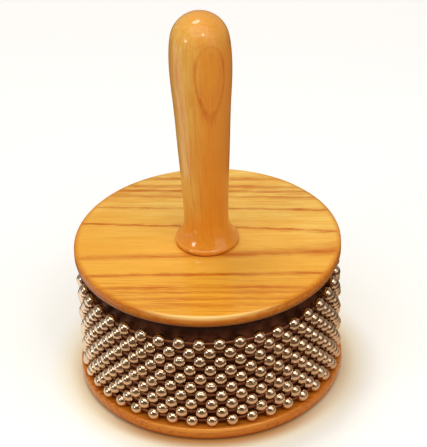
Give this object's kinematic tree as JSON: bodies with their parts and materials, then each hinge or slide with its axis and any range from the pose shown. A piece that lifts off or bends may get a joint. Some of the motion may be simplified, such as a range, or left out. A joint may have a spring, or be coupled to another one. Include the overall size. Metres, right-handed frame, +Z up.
{
  "type": "cabasa",
  "caption": "Cabasa hand rattle: nested loops of steel ball chain turn round a metal-wrapped wooden drum between turned wooden discs, under a turned wooden handle.",
  "frame": {"origin": "centre of the lower disc's underside, where the cabasa stands", "axes": "+Z up along the handle and the drum's axis; -Y is the side the picture looks at"},
  "size_m": [0.114, 0.114, 0.1739],
  "materials": {
    "handle_wood": "honey-coloured ash, turned and lacquered, with long cathedral grain",
    "disc_wood": "honey-coloured ash, flat-sawn and lacquered, with open grain bands",
    "core_wood": "plain unfinished softwood",
    "sheet_steel": "thin cross-lined sheet, dull from wear",
    "bead_plating": "bright nickel plate with fine wear",
    "insert_brass": "plain turned brass",
    "fastener_steel": "bright zinc plate"
  },
  "bodies": {
    "drum_and_handle": {"handle": "handle_wood", "threaded_insert": "insert_brass", "upper_disc": "disc_wood", "core_block": "core_wood", "locating_dowels": "core_wood", "drum_sleeve": "sheet_steel", "seam_tacks": "fastener_steel", "lower_disc": "disc_wood", "disc_screws": "fastener_steel", "through_bolt": "fastener_steel", "flat_washer": "fastener_steel"},
    "loop_01": {"bead_loop_01": "bead_plating"},
    "loop_02": {"bead_loop_02": "bead_plating"},
    "loop_03": {"bead_loop_03": "bead_plating"},
    "loop_04": {"bead_loop_04": "bead_plating"},
    "loop_05": {"bead_loop_05": "bead_plating"},
    "loop_06": {"bead_loop_06": "bead_plating"},
    "loop_07": {"bead_loop_07": "bead_plating"},
    "loop_08": {"bead_loop_08": "bead_plating"},
    "loop_09": {"bead_loop_09": "bead_plating"},
    "loop_10": {"bead_loop_10": "bead_plating"}
  },
  "joints": [
    {"name": "loop_01_turn", "type": "hinge", "parent": "drum_and_handle", "child": "loop_01", "pos_m": [0, 0, 0], "axis": [0, 0, 1], "continuous": true},
    {"name": "loop_02_turn", "type": "hinge", "parent": "drum_and_handle", "child": "loop_02", "pos_m": [0, 0, 0], "axis": [0, 0, 1], "continuous": true},
    {"name": "loop_03_turn", "type": "hinge", "parent": "drum_and_handle", "child": "loop_03", "pos_m": [0, 0, 0], "axis": [0, 0, 1], "continuous": true},
    {"name": "loop_04_turn", "type": "hinge", "parent": "drum_and_handle", "child": "loop_04", "pos_m": [0, 0, 0], "axis": [0, 0, 1], "continuous": true},
    {"name": "loop_05_turn", "type": "hinge", "parent": "drum_and_handle", "child": "loop_05", "pos_m": [0, 0, 0], "axis": [0, 0, 1], "continuous": true},
    {"name": "loop_06_turn", "type": "hinge", "parent": "drum_and_handle", "child": "loop_06", "pos_m": [0, 0, 0], "axis": [0, 0, 1], "continuous": true},
    {"name": "loop_07_turn", "type": "hinge", "parent": "drum_and_handle", "child": "loop_07", "pos_m": [0, 0, 0], "axis": [0, 0, 1], "continuous": true},
    {"name": "loop_08_turn", "type": "hinge", "parent": "drum_and_handle", "child": "loop_08", "pos_m": [0, 0, 0], "axis": [0, 0, 1], "continuous": true},
    {"name": "loop_09_turn", "type": "hinge", "parent": "drum_and_handle", "child": "loop_09", "pos_m": [0, 0, 0], "axis": [0, 0, 1], "continuous": true},
    {"name": "loop_10_turn", "type": "hinge", "parent": "drum_and_handle", "child": "loop_10", "pos_m": [0, 0, 0], "axis": [0, 0, 1], "continuous": true}
  ],
  "couplings": [
    {"joint": "loop_02_turn", "follows": "loop_01_turn", "ratio": 1},
    {"joint": "loop_03_turn", "follows": "loop_01_turn", "ratio": 1},
    {"joint": "loop_04_turn", "follows": "loop_01_turn", "ratio": 1},
    {"joint": "loop_05_turn", "follows": "loop_01_turn", "ratio": 1},
    {"joint": "loop_06_turn", "follows": "loop_01_turn", "ratio": 1},
    {"joint": "loop_07_turn", "follows": "loop_01_turn", "ratio": 1},
    {"joint": "loop_08_turn", "follows": "loop_01_turn", "ratio": 1},
    {"joint": "loop_09_turn", "follows": "loop_01_turn", "ratio": 1},
    {"joint": "loop_10_turn", "follows": "loop_01_turn", "ratio": 1}
  ]
}
